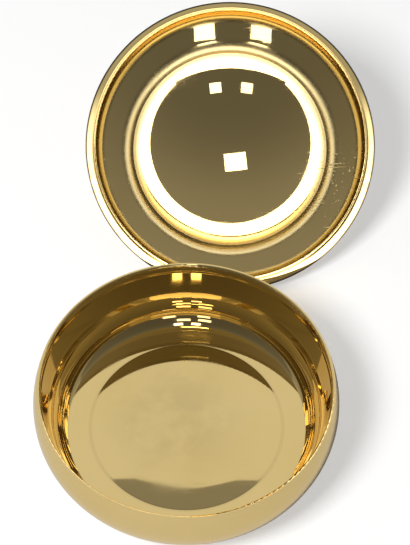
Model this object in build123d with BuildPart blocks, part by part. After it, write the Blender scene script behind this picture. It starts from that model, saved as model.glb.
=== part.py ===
from build123d import *
import os
from math import acos, asin, atan, atan2, cos, degrees, hypot, radians, sin, sqrt, tan

# A round pyx for hosts: a double-walled bowl, and its domed lid lying behind it with the inside up.
# Millimetres, +Z up. The origin is on the table, at the centre of the bowl's foot.

os.makedirs("parts", exist_ok=True)

# Sheets and fits
shell_wall = 0.5
liner_wall = 0.5
lid_wall = 0.6
bezel_wall = 0.6
solder_gap = 0.06
lid_clearance = 0.2

# Bowl, outside
rim_radius = 46.0
bowl_height = 27.0
belly_swell = 1.4
belly_drop = 9.0
foot_inset = 12.4
foot_curve = 7.0

# Bowl, inside
floor_gap = 2.4
rim_fold = 0.2
seat_drop = 2.8
seat_step = 0.35
seat_fall = 0.65
wall_taper = 1.6
ledge_drop = 12.3
ledge_width = 0.85
ledge_fall = 1.55
ledge_skirt = 0.7
ledge_fold = 0.1
cove_run = 4.6
floor_band = 7.2
disc_rise = 1.85

# Lid
bezel_drop = 2.3
bezel_seat = 1.8
bezel_round = 0.25
lip_overhang = 1.6
lip_slope = 41.0
lip_edge = 0.7
lip_back = 1.4
lip_round = 0.3
corner_curve = 5.0
shoulder_band = 12.6
shoulder_slope = 30.6
shoulder_curve = 64.0
step_slope = 52.0
step_curve = 10.4
crown_rise = 11.9

# Finial
collet_radius = 3.0
collet_flange = 0.7
collet_margin = 0.25
collet_height = 2.3
cross_height = 5.8
cross_span = 4.6
cross_bar = 1.5
cross_thickness = 1.4
cross_arm_level = 3.5
cross_round = 0.2

# Where the lid lies
lid_aside = 14.1
lid_gap = 5.0

# Bowl outside: a foot arc and a wall arc that meet in one tangent, upright at the belly
belly_radius = rim_radius + belly_swell
belly_level = bowl_height - belly_drop
shell_top = bowl_height - liner_wall
foot_radius = belly_radius - foot_inset
heel_rise = belly_level - foot_curve
wall_curve = (foot_inset**2 + heel_rise**2 - foot_curve**2) / (2 * (foot_inset - foot_curve))
heel_sweep = degrees(atan2(wall_curve - foot_inset, heel_rise))

# Bowl inside: the liner stands inside the shell's edge, and each step follows from the mouth
shell_lean = 2 * atan(belly_swell / (shell_top - belly_level))
mouth_radius = rim_radius - shell_wall / cos(shell_lean) - solder_gap - liner_wall
seat_level = bowl_height - seat_drop
ledge_radius = mouth_radius - seat_step - wall_taper
ledge_level = bowl_height - ledge_drop
cove_radius = ledge_radius - ledge_width
skirt_level = ledge_level - ledge_fall
floor_radius = cove_radius - cove_run
floor_level = shell_wall + floor_gap + liner_wall
disc_radius = floor_radius - floor_band
disc_level = floor_level + disc_rise
fold_outside = liner_wall + ledge_fold
cove_level = skirt_level - ledge_skirt
cove_fall = cove_level - floor_level
cove_curve = (cove_run**2 + cove_fall**2) / (2 * cove_run)
cove_foot = cove_radius - cove_curve + sqrt((cove_curve + liner_wall) ** 2 - (cove_fall + liner_wall) ** 2)

# Lid: heights are measured along its axis, from the seat on the rim towards the crown
bezel_radius = mouth_radius - lid_clearance
lid_mouth = bezel_radius + solder_gap
lip_radius = rim_radius + lip_overhang
lid_side = lid_mouth + lid_wall
lip_rise = (lip_radius - lid_side) * tan(radians(lip_slope))
lip_level = lip_rise + lip_edge
shoulder_angle = radians(shoulder_slope)
step_angle = radians(step_slope)
corner_run = corner_curve * (1 - sin(shoulder_angle))
foot_reach = shoulder_curve * sin(shoulder_angle) + step_curve * sin(step_angle)
foot_reach += corner_run - shoulder_band
foot_angle = asin(foot_reach / (shoulder_curve + step_curve))
corner_sweep = 90 - shoulder_slope
shoulder_sweep = shoulder_slope - degrees(foot_angle)
step_sweep = degrees(foot_angle) - step_slope
crown_radius = lid_mouth - shoulder_band
crown_level = bezel_seat + corner_curve * cos(shoulder_angle)
crown_level += shoulder_curve * (cos(foot_angle) - cos(shoulder_angle))
crown_level += step_curve * (cos(foot_angle) - cos(step_angle))
crown_inside = crown_level + crown_rise
dome_top = crown_inside + lid_wall
dome_edge = crown_radius + lid_wall * sin(step_angle)
dome_rise = dome_top - crown_level - lid_wall * cos(step_angle)
dome_curve = (dome_edge**2 + dome_rise**2) / (2 * dome_rise)
dome_centre = dome_top - dome_curve

# Finial: the collet sits on the crown, and the cross on the collet
collet_seat = dome_curve + solder_gap
collet_edge = dome_centre + sqrt(collet_seat**2 - collet_radius**2)
collet_neck = hypot(cross_bar, cross_thickness) / 2 + collet_margin
cross_foot = dome_top + collet_height

# The lid lies on its dome and on the tip of the cross, which sets its tilt
tip_reach = dome_curve + collet_height + cross_height - cross_round
tip_half = cross_thickness / 2 - cross_round
lid_tilt = acos((dome_curve - cross_round) / hypot(tip_reach, tip_half)) + atan2(tip_half, tip_reach)
height_on_dome = dome_curve + dome_centre * cos(lid_tilt)
height_on_lip = lip_radius * sin(lid_tilt) + lip_level * cos(lid_tilt)
lid_height = max(height_on_dome, height_on_lip)
lid_behind = belly_radius + lid_gap + lip_radius * cos(lid_tilt) - lip_rise * sin(lid_tilt)
lid_seat = Vector(lid_aside, lid_behind, lid_height)
lid_axis = Axis(lid_seat, (0, sin(lid_tilt), -cos(lid_tilt)))
lid_section = Plane(lid_seat, x_dir=(1, 0, 0), z_dir=(0, cos(lid_tilt), sin(lid_tilt)))

# Outer sheet of the bowl: flat foot, round wall, edge drawn in under the rim
with BuildPart() as bowl_shell:
    with BuildSketch(Plane.XZ):
        with BuildLine():
            foot = Line((0, 0), (foot_radius, 0))
            heel = JernArc(foot @ 1, foot % 1, foot_curve, heel_sweep)
            wall = TangentArc(heel @ 1, (belly_radius, belly_level), tangent=heel % 1)
            TangentArc(wall @ 1, (rim_radius, shell_top), tangent=(0, 1))
            offset(amount=shell_wall, side=Side.LEFT)
        make_face()
    revolve(axis=Axis.Z)

# Inner sheet of the bowl: floor with a raised disc, cove, ledge, seat step and turned-out rim
with BuildPart() as bowl_liner:
    with BuildSketch(Plane.XZ):
        with BuildLine():
            disc = TangentArc((0, disc_level), (disc_radius, floor_level), tangent=(1, 0))
            floor = Line(disc @ 1, (floor_radius, floor_level))
            TangentArc((cove_radius, cove_level), floor @ 1, tangent=(0, -1))
            FilletPolyline(
                (cove_radius, cove_level),
                (cove_radius, skirt_level),
                (ledge_radius, ledge_level),
                (mouth_radius - seat_step, seat_level - seat_fall),
                (mouth_radius, seat_level),
                (mouth_radius, bowl_height),
                (rim_radius, bowl_height),
                radius=[fold_outside, fold_outside, fold_outside, fold_outside, liner_wall + rim_fold],
            )
            Line((rim_radius, bowl_height), (rim_radius, shell_top))
            FilletPolyline(
                (rim_radius, shell_top),
                (mouth_radius + liner_wall, shell_top),
                (mouth_radius + liner_wall, seat_level),
                (mouth_radius + liner_wall - seat_step, seat_level - seat_fall),
                (ledge_radius + liner_wall, ledge_level),
                (cove_radius + liner_wall, skirt_level),
                (cove_radius + liner_wall, cove_level),
                radius=[rim_fold, fold_outside, ledge_fold, fold_outside, ledge_fold],
            )
            back = TangentArc(
                (cove_radius + liner_wall, cove_level),
                (cove_foot, floor_level - liner_wall),
                tangent=(0, -1),
            )
            under = TangentArc(
                (0, disc_level - liner_wall),
                (disc_radius, floor_level - liner_wall),
                tangent=(1, 0),
            )
            Line(back @ 1, under @ 1)
            Line(under @ 0, disc @ 0)
        make_face()
    revolve(axis=Axis.Z)

# Lid: a sloping lip, a hollow corner, a shoulder, a step and a domed crown
with BuildPart() as lid_shell:
    with BuildSketch(lid_section):
        with BuildLine():
            lip = FilletPolyline(
                (lid_mouth, 0),
                (lid_side, 0),
                (lip_radius, lip_rise),
                (lip_radius, lip_level),
                (lid_mouth, lip_level + lip_back),
                radius=[0, lip_round, lip_round],
            )
            Line(lip @ 1, lip @ 0)
        make_face()
        with BuildLine():
            seat = Line((lid_mouth, 0), (lid_mouth, bezel_seat))
            corner = JernArc(seat @ 1, seat % 1, corner_curve, corner_sweep)
            shoulder = JernArc(corner @ 1, corner % 1, shoulder_curve, shoulder_sweep)
            step = JernArc(shoulder @ 1, shoulder % 1, step_curve, step_sweep)
            crown = TangentArc((0, crown_inside), step @ 1, tangent=(1, 0))
            side = Line((lid_side, 0), (lid_side, bezel_seat))
            turn = JernArc(side @ 1, side % 1, corner_curve + lid_wall, corner_sweep)
            slope = JernArc(turn @ 1, turn % 1, shoulder_curve + lid_wall, shoulder_sweep)
            rise = JernArc(slope @ 1, slope % 1, step_curve - lid_wall, step_sweep)
            dome = TangentArc((0, dome_top), rise @ 1, tangent=(1, 0))
            Line(seat @ 0, side @ 0)
            Line(crown @ 0, dome @ 0)
        make_face()
    revolve(axis=lid_axis)

# Ring inside the lid's edge, which drops into the bowl's mouth
with BuildPart() as lid_bezel:
    with BuildSketch(lid_section):
        with Locations((bezel_radius, bezel_seat)):
            Rectangle(bezel_wall, bezel_drop + bezel_seat, align=Align.MAX)
    revolve(axis=lid_axis)
    fillet(lid_bezel.edges().group_by(lid_axis)[0], bezel_round)

# Turned seat of the finial, hollowed underneath to fit the crown
with BuildPart() as finial_collet:
    with BuildSketch(lid_section):
        with BuildLine():
            under = TangentArc((0, dome_top + solder_gap), (collet_radius, collet_edge), tangent=(1, 0))
            edge = Line(under @ 1, (collet_radius, collet_edge + collet_flange))
            neck = TangentArc(edge @ 1, (collet_neck, cross_foot), tangent=(-1, 0))
            Polyline(neck @ 1, (0, cross_foot), under @ 0)
        make_face()
    revolve(axis=lid_axis)

# Cross of the finial, its arms along X
with BuildPart() as finial_cross:
    with BuildSketch(lid_section):
        with Locations((0, cross_foot)):
            Rectangle(cross_bar, cross_height, align=(Align.CENTER, Align.MIN))
        with Locations((0, cross_foot + cross_arm_level)):
            Rectangle(cross_span, cross_bar)
    extrude(amount=cross_thickness / 2, both=True)
    fillet(finial_cross.edges().group_by(lid_axis)[1:], cross_round)

pieces = {
    "bowl_shell": bowl_shell,
    "bowl_liner": bowl_liner,
    "lid_shell": lid_shell,
    "lid_bezel": lid_bezel,
    "finial_collet": finial_collet,
    "finial_cross": finial_cross,
}
for name, piece in pieces.items():
    piece.part.label = name
    export_step(piece.part, f"parts/{name}.step")
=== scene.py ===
from math import asin, atan2, cos, degrees, hypot, pi, radians, sin

import bpy
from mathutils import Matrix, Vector

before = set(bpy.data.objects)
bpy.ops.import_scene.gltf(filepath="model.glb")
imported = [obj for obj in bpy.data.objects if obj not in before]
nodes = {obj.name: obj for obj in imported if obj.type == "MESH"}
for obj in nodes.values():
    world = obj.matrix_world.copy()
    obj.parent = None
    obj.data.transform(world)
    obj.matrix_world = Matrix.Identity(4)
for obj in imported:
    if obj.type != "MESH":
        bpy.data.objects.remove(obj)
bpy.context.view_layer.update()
scene = bpy.context.scene
scene.view_settings.view_transform = "Standard"

# Sizes are in metres, angles in degrees
image_width = 410
focal_pixels = 2400
sensor_width = 36.0
camera_place = (0.0058, -0.3887, 0.6534)
camera_pitch = 55.47
camera_near = 0.01

lid_place = (0.0141, 0.0921, 0.0285)
lid_tilt = 31.17
bowl_nodes = ("bowl_shell", "bowl_liner")
lid_nodes = ("lid_shell", "lid_bezel", "finial_collet", "finial_cross")


# Node helpers
def add(tree, kind, **settings):
    node = tree.nodes.new(kind)
    for name, value in settings.items():
        setattr(node, name, value)
    return node


def math(tree, operation, first, second=None):
    node = add(tree, "ShaderNodeMath", operation=operation)
    for socket, value in zip(node.inputs, (first, second)):
        if isinstance(value, (int, float)):
            socket.default_value = value
        elif value is not None:
            tree.links.new(value, socket)
    return node.outputs[0]


def vector(tree, operation, first, second=None):
    node = add(tree, "ShaderNodeVectorMath", operation=operation)
    for socket, value in zip(node.inputs, (first, second)):
        if isinstance(value, tuple):
            socket.default_value = value
        elif value is not None:
            tree.links.new(value, socket)
    return node


def split(tree, place):
    node = add(tree, "ShaderNodeSeparateXYZ")
    tree.links.new(place, node.inputs[0])
    return node.outputs


def joined(tree, first, second):
    node = add(tree, "ShaderNodeCombineXYZ")
    tree.links.new(first, node.inputs[0])
    tree.links.new(second, node.inputs[1])
    return node.outputs[0]


def ramp(tree, value, low, high, to_low, to_high):
    node = add(tree, "ShaderNodeMapRange", interpolation_type="SMOOTHSTEP")
    tree.links.new(value, node.inputs["Value"])
    node.inputs["From Min"].default_value = low
    node.inputs["From Max"].default_value = high
    node.inputs["To Min"].default_value = to_low
    node.inputs["To Max"].default_value = to_high
    return node.outputs["Result"]


def near(tree, place, spot, reach):
    return ramp(tree, vector(tree, "DISTANCE", place, spot).outputs["Value"], 0, reach, 1, 0)


def spread(tree, place, turn, stretch):
    node = add(tree, "ShaderNodeMapping")
    tree.links.new(place, node.inputs["Vector"])
    node.inputs["Rotation"].default_value = [radians(angle) for angle in turn]
    node.inputs["Scale"].default_value = stretch
    return node.outputs["Vector"]


def noise(tree, place, scale, detail):
    node = add(tree, "ShaderNodeTexNoise")
    tree.links.new(place, node.inputs["Vector"])
    node.inputs["Scale"].default_value = scale
    node.inputs["Detail"].default_value = detail
    return node.outputs["Fac"]


def tinted(tree, amount, first, second):
    node = add(tree, "ShaderNodeMix", data_type="RGBA")
    tree.links.new(amount, node.inputs[0])
    for socket, colour in ((node.inputs[6], first), (node.inputs[7], second)):
        if isinstance(colour, tuple):
            socket.default_value = colour
        else:
            tree.links.new(colour, socket)
    return node.outputs[2]


def shown(tree, first, second):
    # Two shaders on top of each other, as the surface of a material
    both = add(tree, "ShaderNodeAddShader")
    tree.links.new(first.outputs[0], both.inputs[0])
    tree.links.new(second.outputs[0], both.inputs[1])
    tree.links.new(both.outputs[0], add(tree, "ShaderNodeOutputMaterial").inputs["Surface"])


# Camera, at the photograph's place and angle
camera = bpy.data.objects.new("camera", bpy.data.cameras.new("camera"))
scene.collection.objects.link(camera)
camera.location = camera_place
camera.rotation_euler = (radians(90 - camera_pitch), 0, 0)
camera.data.sensor_fit = "HORIZONTAL"
camera.data.sensor_width = sensor_width
camera.data.lens = focal_pixels / image_width * sensor_width
camera.data.clip_start = camera_near
scene.camera = camera

# World: white to the camera; the metal mirrors a pale sweep, higher at the back, and a dim ceiling
sweep_tilt = 22.0
sweep_edge = 0.375
sweep_soft = 0.02
sweep_span = (-0.45, -0.2)
sweep_light = 0.15
ceiling_span = (-0.95, 0.55)
ceiling_front = 0.115
ceiling_back = 0.24
camera_light = 1.0

world = bpy.data.worlds.new("studio")
scene.world = world
world.use_nodes = True
tree = world.node_tree
tree.nodes.clear()
y, z = split(tree, add(tree, "ShaderNodeTexCoord").outputs["Generated"])[1:]
leaning = math(
    tree,
    "SUBTRACT",
    math(tree, "MULTIPLY", z, cos(radians(sweep_tilt))),
    math(tree, "MULTIPLY", y, sin(radians(sweep_tilt))),
)
ceiling = ramp(tree, y, *ceiling_span, ceiling_front, ceiling_back)
in_sweep = math(
    tree,
    "MULTIPLY",
    ramp(tree, leaning, sweep_edge - sweep_soft, sweep_edge + sweep_soft, 1, 0),
    ramp(tree, y, *sweep_span, 0, 1),
)
shine = math(tree, "ADD", ceiling, math(tree, "MULTIPLY", in_sweep, sweep_light))
seen = add(tree, "ShaderNodeLightPath").outputs["Is Camera Ray"]
strength = add(tree, "ShaderNodeMix", data_type="FLOAT")
tree.links.new(seen, strength.inputs[0])
tree.links.new(shine, strength.inputs[2])
strength.inputs[3].default_value = camera_light
background = add(tree, "ShaderNodeBackground")
background.inputs["Color"].default_value = (1, 1, 1, 1)
tree.links.new(strength.outputs[0], background.inputs["Strength"])
tree.links.new(background.outputs[0], add(tree, "ShaderNodeOutputWorld").inputs["Surface"])

# Floor: plain white, takes the soft shadows; the metal mirrors it darker far in front
floor_size = 6.0
floor_drop = 0.0001
floor_lift = 0.47
lift_span = (0.3, 1.6)
mirror_lift = 0.01
paper_white = 0.54
paper_far = 0.12
far_span = (-0.36, -0.3)
far_slant = 0.5

bpy.ops.mesh.primitive_plane_add(size=floor_size, location=(0, 0, -floor_drop))
floor = bpy.context.object
floor.name = "floor"
paper = bpy.data.materials.new("paper")
paper.use_nodes = True
tree = paper.node_tree
tree.nodes.clear()
matt = add(tree, "ShaderNodeBsdfDiffuse")
glow = add(tree, "ShaderNodeEmission")
path = add(tree, "ShaderNodeLightPath")
mirrored = math(tree, "MAXIMUM", path.outputs["Is Glossy Ray"], path.outputs["Is Transmission Ray"])
spot = add(tree, "ShaderNodeTexCoord").outputs["Object"]
lift = ramp(tree, vector(tree, "LENGTH", spot).outputs["Value"], *lift_span, floor_lift, 1)
x, y = split(tree, spot)[:2]
ahead = math(tree, "ADD", y, math(tree, "MULTIPLY", math(tree, "ABSOLUTE", x), far_slant))
far = math(tree, "MULTIPLY", ramp(tree, ahead, *far_span, 1, 0), mirrored)
tree.links.new(ramp(tree, far, 0, 1, paper_white, paper_far), matt.inputs["Color"])
lifts = math(
    tree,
    "ADD",
    math(tree, "MULTIPLY", path.outputs["Is Camera Ray"], lift),
    math(tree, "MULTIPLY", mirrored, mirror_lift),
)
tree.links.new(lifts, glow.inputs["Strength"])
shown(tree, matt, glow)
floor.data.materials.append(paper)


# Lamps: soft boxes, given by the brightness of their face
def only(lamp, takers):
    group = bpy.data.collections.new(lamp.name + "_takers")
    for taker in takers:
        group.objects.link(nodes[taker])
    lamp.light_linking.receiver_collection = group


def softbox(name, place, aim, width, height, face, glossy=True, takers=(), roll=0):
    data = bpy.data.lights.new(name, "AREA")
    data.shape = "RECTANGLE"
    data.size = width
    data.size_y = height
    data.energy = face * pi * width * height
    lamp = bpy.data.objects.new(name, data)
    scene.collection.objects.link(lamp)
    lamp.location = place
    lamp.rotation_euler = (Vector(aim) - Vector(place)).to_track_quat("-Z", "Y").to_euler()
    lamp.rotation_euler.rotate_axis("Z", radians(roll))
    lamp.visible_glossy = glossy
    if takers:
        only(lamp, takers)


key_place = (-0.55, -0.52, 1.07)
key_aim = (0.02, 0.05, 0)
lid_panel_place = (-0.08, -0.34, 1.37)
bowl_panel_place = (-0.075, -0.356, 1.37)
bowl_foot = (0, 0, 0)
bowl_inside = (0, 0, 0.01)
bowl_middle = (0, 0, 0.02)
front_places = {"front_right": (0.30, -1.36, 0.41), "front_left": (-0.30, -1.36, 0.41)}
high_places = ((-0.25, -1.0, 0.61), (0.04, -1.0, 0.61))
top_places = ((-0.12, -0.86, 0.82), (0.1, -0.86, 0.82))

softbox("key", key_place, key_aim, width=0.4, height=0.4, face=34.0, glossy=False)
softbox("lid_panel", lid_panel_place, lid_place, width=0.41, height=0.34, face=3.0, takers=lid_nodes, roll=17)
softbox("bowl_panel", bowl_panel_place, bowl_foot, width=0.22, height=0.16, face=6.0, takers=bowl_nodes)
for name, place in front_places.items():
    softbox(name, place, bowl_middle, width=0.22, height=0.22, face=2.8)
for place in high_places:
    softbox("front_high", place, bowl_inside, width=0.17, height=0.15, face=3.2, takers=bowl_nodes)
for place in top_places:
    softbox("front_top", place, bowl_inside, width=0.11, height=0.08, face=6.0, takers=bowl_nodes)

# White cards before the lid, in layers of growing width, so that their light on the lip ends softly
card_middle = 0.014
card_layers = 6
card_growth = 0.12
upright_level = 0.016
upright_height = 0.024
upright_aim = (card_middle, 0.1, upright_level)
between_place = (card_middle, 0.05, upright_level)
beside_behind = 0.0499
beside_apart = 0.0001
beside_width = 0.24
flat_behind = -0.175
flat_aim = (card_middle, -0.174, 1)
flat_level = 0.0005
flat_apart = 0.0002
flat_width = 0.5
flat_depth = 0.29

softbox("between", between_place, upright_aim, width=0.12, height=upright_height, face=2.4, takers=lid_nodes)
for layer in range(card_layers):
    place = (card_middle, beside_behind - beside_apart * layer, upright_level)
    width = beside_width + card_growth * layer
    softbox("beside", place, upright_aim, width, height=upright_height, face=0.55, takers=lid_nodes)
for layer in range(card_layers):
    place = (card_middle, flat_behind, flat_level + flat_apart * layer)
    width = flat_width + card_growth * layer
    softbox("foreground", place, flat_aim, width, height=flat_depth, face=0.5, takers=lid_nodes)

# Light tents: bands of a wide white cloth, each lighting the bowl or the lid alone
tent_reach = 1.6
tent_whole = (2, 3)
tent_step = 3
bowl_centre = (0, 0, 0.004)
bowl_side = 66
bowl_low = 40
bowl_low_fall = 0.36
bowl_high = 72
bowl_high_fall = 0.0068
low_side = 40
low_step = 4
low_heights = (13, 29)
lid_side = 141
lid_angles = (76, 64)
lip_side = 126
lip_angles = (92, 76)
lip_fade = (0.0, 0.8)


def tent(name, centre, band, face, takers, fade=tent_whole):
    points = []
    for azimuth, low, high in band:
        for height in (low, high):
            level = cos(radians(height))
            side = (level * sin(radians(azimuth)), level * cos(radians(azimuth)), sin(radians(height)))
            points.append([middle + tent_reach * part for middle, part in zip(centre, side)])
    faces = [(2 * i, 2 * i + 1, 2 * i + 3, 2 * i + 2) for i in range(len(band) - 1)]
    mesh = bpy.data.meshes.new(name)
    mesh.from_pydata(points, [], faces)
    cloth = bpy.data.materials.new(name)
    cloth.use_nodes = True
    tree = cloth.node_tree
    tree.nodes.clear()
    glow = add(tree, "ShaderNodeEmission")
    behind = split(tree, add(tree, "ShaderNodeTexCoord").outputs["Object"])[1]
    tree.links.new(ramp(tree, behind, *fade, face, 0), glow.inputs["Strength"])
    shown(tree, glow, add(tree, "ShaderNodeBsdfTransparent"))
    mesh.materials.append(cloth)
    sheet = bpy.data.objects.new(name, mesh)
    scene.collection.objects.link(sheet)
    sheet.visible_camera = False
    sheet.visible_diffuse = False
    sheet.visible_shadow = False
    only(sheet, takers)


def azimuths(side, step=tent_step):
    return range(-side, side + 1, step)


def tilted(azimuth, angle):
    # Height at which a cone around the lid's axis stands, seen from the lid; never below the floor
    lift = cos(radians(lid_tilt))
    lean = sin(radians(lid_tilt)) * cos(radians(azimuth))
    height = asin(cos(radians(angle)) / hypot(lift, lean)) + atan2(lean, lift)
    return max(degrees(height), 0)


def around_lid(side, angles):
    return [(azimuth, *(tilted(azimuth, angle) for angle in angles)) for azimuth in azimuths(side)]


bowl_band = [
    (azimuth, bowl_low - bowl_low_fall * abs(azimuth), bowl_high - bowl_high_fall * azimuth**2)
    for azimuth in azimuths(bowl_side)
]
low_band = [(azimuth, *low_heights) for azimuth in azimuths(low_side, low_step)]
tent("bowl_tent", bowl_centre, bowl_band, face=0.4, takers=bowl_nodes)
tent("low_tent", bowl_centre, low_band, face=1.6, takers=bowl_nodes)
tent("lid_tent", lid_place, around_lid(lid_side, lid_angles), face=3.0, takers=lid_nodes)
tent("lip_tent", lid_place, around_lid(lip_side, lip_angles), face=2.4, takers=lid_nodes, fade=lip_fade)

# Gold: polished, with fine scratches, turning rings, dull places that no cloth reaches, a tarnished smudge,
# and painted shade as dark rings in creases, on bands of the bowl's walls and at the lid's edge
gold = (1.0, 0.76, 0.33, 1.0)
deep_gold = (0.96, 0.70, 0.27, 1.0)
# Tarnish of the smudge, and also the colour of painted shade rings on the lid's shoulder and the disc's edge
tarnish_and_shade = (0.34, 0.27, 0.13, 1.0)
# Colour of painted shade in the lid's corner and on bands of the bowl's wall and cove
painted_shade_brown = (0.26, 0.16, 0.035, 1.0)
# Colour of the painted shade line along the lid's outer edge
painted_edge_shade = (0.08, 0.06, 0.03, 1.0)
lid_edge = 0.0473
lid_edge_soft = 0.0005
worn_place = (0.036, 0.012, 0.008)
worn_reach = 0.026
smudge_place = (-0.004, 0.002, 0.005)
smudge_reach = 0.03
crown_centre = (0, 0, -0.0251)
crown_reach = 0.008
crown_core = 0.5
# Share of each painted shade ring's reach that is fully dark
painted_shade_core = 0.4

# Marks in the metal: scale and detail of their noise, and the levels of it between which they show
patch_grain = (38.0, 3.0)
patch_span = (0.4, 0.75)
patch_most = 0.5
cloud_grain = (110.0, 4.0)
cloud_span = (0.35, 0.65)
cloud_least = 0.3
speck_grain = (1100.0, 1.0)
speck_span = (0.66, 0.72)
streak_grain = (1.0, 1.0)
streak_span = (0.7, 0.76)
streaks = (
    ((12, 24, 20), (60, 1500, 60)),
    ((-20, 10, 75), (80, 1700, 80)),
    ((8, -30, 130), (50, 1400, 50)),
)
rub_grain = (64.0, 2.0)
rub_span = (0.5, 0.7)
rub_least = 0.1
smear_grain = (55.0, 4.0)
smear_span = (0.45, 0.8)
smear_turn = (0, 0, 30)
smear_stretch = (1, 2.2, 1)
smear_rough = 0.05
scratch_rough = 0.3
dull_rough = 0.2
wave_grain = (40.0, 1.0)
wave_depth = 0.000004
ring_grain = (900.0, 2.0)


def on_axis(tree, place):
    # The lid's own axes, from its seat towards its crown
    node = add(tree, "ShaderNodeMapping", vector_type="TEXTURE")
    tree.links.new(place, node.inputs["Vector"])
    node.inputs["Location"].default_value = lid_place
    node.inputs["Rotation"].default_value = (radians(180 + lid_tilt), 0, 0)
    return node.outputs["Vector"]


def rounded(tree, place, radius):
    # The crown's true roundness, for the place where its facets meet in one point
    outward = vector(tree, "NORMALIZE", vector(tree, "SUBTRACT", place, crown_centre).outputs[0]).outputs[0]
    upright = add(tree, "ShaderNodeMapping", vector_type="VECTOR")
    tree.links.new(outward, upright.inputs["Vector"])
    upright.inputs["Rotation"].default_value = (radians(180 + lid_tilt), 0, 0)
    facets = add(tree, "ShaderNodeNewGeometry").outputs["Normal"]
    side = math(tree, "SIGN", vector(tree, "DOT_PRODUCT", upright.outputs[0], facets).outputs["Value"])
    true = vector(tree, "SCALE", upright.outputs[0])
    tree.links.new(side, true.inputs["Scale"])
    blend = add(tree, "ShaderNodeMix", data_type="VECTOR")
    tree.links.new(ramp(tree, radius, crown_core * crown_reach, crown_reach, 1, 0), blend.inputs[0])
    tree.links.new(facets, blend.inputs[4])
    tree.links.new(true.outputs[0], blend.inputs[5])
    return blend.outputs[1]


def painted_shade_ring(tree, radius, colour, dull, middle, reach, depth, painted_shade, blunt):
    # A ring of painted shade around the axis: a darker colour where the metal shows shade, which may be dull
    # too
    apart = math(tree, "ABSOLUTE", math(tree, "SUBTRACT", radius, middle))
    amount = ramp(tree, apart, painted_shade_core * reach, reach, depth, 0)
    dull = math(tree, "MAXIMUM", dull, math(tree, "MULTIPLY", amount, blunt))
    return tinted(tree, amount, colour, painted_shade), dull


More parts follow.
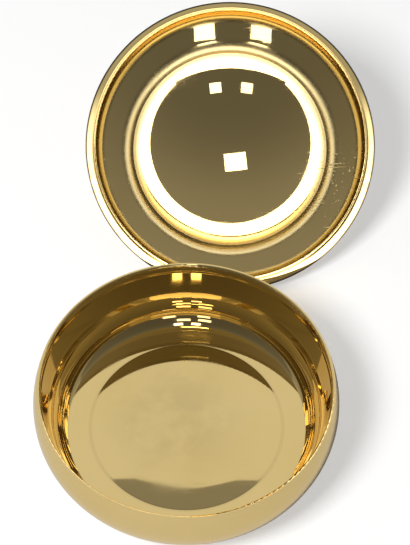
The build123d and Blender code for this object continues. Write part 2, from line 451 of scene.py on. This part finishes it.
def gilt(
    name, roughness, scratched, turned, on_lid=False, worn=0, smudged=0, painted_shade_rings=(), crown=False, edge_shaded=False
):
    material = bpy.data.materials.new(name)
    material.use_nodes = True
    tree = material.node_tree
    shader = tree.nodes["Principled BSDF"]
    shader.inputs["Metallic"].default_value = 1.0
    place = add(tree, "ShaderNodeTexCoord").outputs["Object"]
    if on_lid:
        place = on_axis(tree, place)

    # Distance from the axis, and height along it
    x, y, height = split(tree, place)
    radius = vector(tree, "LENGTH", joined(tree, x, y)).outputs["Value"]
    ring = joined(tree, radius, height)

    # Colour: deeper where the polish is thin, tarnished in a smudge where hosts have lain, and darker in
    # rings of painted shade in creases and on bands of the bowl's walls
    cloudy = ramp(tree, noise(tree, place, *cloud_grain), *cloud_span, cloud_least * smudged, smudged)
    dull = math(tree, "MULTIPLY", near(tree, place, smudge_place, smudge_reach), cloudy)
    patches = ramp(tree, noise(tree, place, *patch_grain), *patch_span, 0, patch_most)
    colour = tinted(tree, dull, tinted(tree, patches, gold, deep_gold), tarnish_and_shade)
    # Painted shade: darker rings around the axis
    for painted_shade in painted_shade_rings:
        colour, dull = painted_shade_ring(tree, radius, colour, dull, **painted_shade)
    # Painted shade: a thin dark line along the lid's outer edge, for the shaded floor mirrored under the lip
    if edge_shaded:
        colour = tinted(tree, ramp(tree, radius, lid_edge - lid_edge_soft, lid_edge, 0, 1), colour, painted_edge_shade)
    tree.links.new(colour, shader.inputs["Base Color"])

    # Fine scratches in three directions, in patches, and specks where the lid is worn
    lines = ramp(tree, noise(tree, place, *speck_grain), *speck_span, 0, worn)
    for turn, stretch in streaks:
        line = noise(tree, spread(tree, place, turn, stretch), *streak_grain)
        lines = math(tree, "MAXIMUM", lines, ramp(tree, line, *streak_span, 0, 1))
    rubbed = ramp(tree, noise(tree, place, *rub_grain), *rub_span, rub_least * scratched, scratched)
    worn_here = math(tree, "MULTIPLY", near(tree, place, worn_place, worn_reach), worn)
    scratches = math(tree, "MULTIPLY", lines, math(tree, "ADD", rubbed, worn_here))

    # Roughness: polish, smears, scratches and dull places
    smears = noise(tree, spread(tree, place, smear_turn, smear_stretch), *smear_grain)
    rough = math(tree, "ADD", ramp(tree, smears, *smear_span, 0, smear_rough), roughness)
    for marks, amount in ((scratches, scratch_rough), (dull, dull_rough)):
        rough = math(tree, "ADD", rough, math(tree, "MULTIPLY", marks, amount))
    tree.links.new(rough, shader.inputs["Roughness"])

    # Bump: soft waves in the sheet, and turning rings
    waves = noise(tree, place, *wave_grain)
    rings = noise(tree, ring, *ring_grain)
    normal = rounded(tree, place, radius) if crown else None
    for relief, depth in ((waves, wave_depth), (rings, turned)):
        bump = add(tree, "ShaderNodeBump")
        bump.inputs["Strength"].default_value = 1.0
        bump.inputs["Distance"].default_value = depth
        tree.links.new(relief, bump.inputs["Height"])
        if normal is not None:
            tree.links.new(normal, bump.inputs["Normal"])
        normal = bump.outputs["Normal"]
    tree.links.new(normal, shader.inputs["Normal"])
    return material


# Painted shade: a dark band on the lid's shoulder beyond the dome's white ring, in place of a bright
# reflection
shoulder_painted_shade = dict(middle=0.0331, reach=0.0034, depth=1.0, painted_shade=tarnish_and_shade, blunt=1.0)
# Painted shade: a dark line in the lid's corner by the bezel, where shade falls
corner_painted_shade = dict(middle=0.0436, reach=0.0024, depth=1.0, painted_shade=painted_shade_brown, blunt=1.0)
# Painted shade: a soft dark line at the disc's edge, where its slope changes
disc_edge_painted_shade = dict(middle=0.0303, reach=0.0008, depth=0.12, painted_shade=tarnish_and_shade, blunt=1.0)
# Painted shade: a darker band on the bowl's inner wall, for the dark surroundings it mirrors
wall_painted_shade = dict(middle=0.0440, reach=0.0017, depth=0.55, painted_shade=painted_shade_brown, blunt=0.0)
# Painted shade: a darker band in the bowl's cove, for the dark surroundings it mirrors
cove_painted_shade = dict(middle=0.0396, reach=0.0027, depth=0.45, painted_shade=painted_shade_brown, blunt=0.0)
finishes = {
    "bowl_shell": dict(roughness=0.06, scratched=0.5, turned=0.0000012),
    "bowl_liner": dict(
        roughness=0.03,
        scratched=0.25,
        turned=0.00000008,
        smudged=0.25,
        # Rings of painted shade at the disc's edge, on the wall and in the cove
        painted_shade_rings=(disc_edge_painted_shade, wall_painted_shade, cove_painted_shade),
    ),
    "lid_shell": dict(
        roughness=0.025,
        scratched=0.3,
        turned=0.0000003,
        on_lid=True,
        worn=1.0,
        # Rings of painted shade on the shoulder and in the corner, and a painted shade line at the outer edge
        painted_shade_rings=(shoulder_painted_shade, corner_painted_shade),
        crown=True,
        edge_shaded=True,
    ),
    "lid_bezel": dict(roughness=0.04, scratched=0.6, turned=0.0000006, on_lid=True),
    "finial_collet": dict(roughness=0.05, scratched=0.4, turned=0.0000006, on_lid=True),
    "finial_cross": dict(roughness=0.07, scratched=0.5, turned=0.0000002, on_lid=True),
}
for name, finish in finishes.items():
    nodes[name].data.materials.clear()
    nodes[name].data.materials.append(gilt("gilt_" + name, **finish))
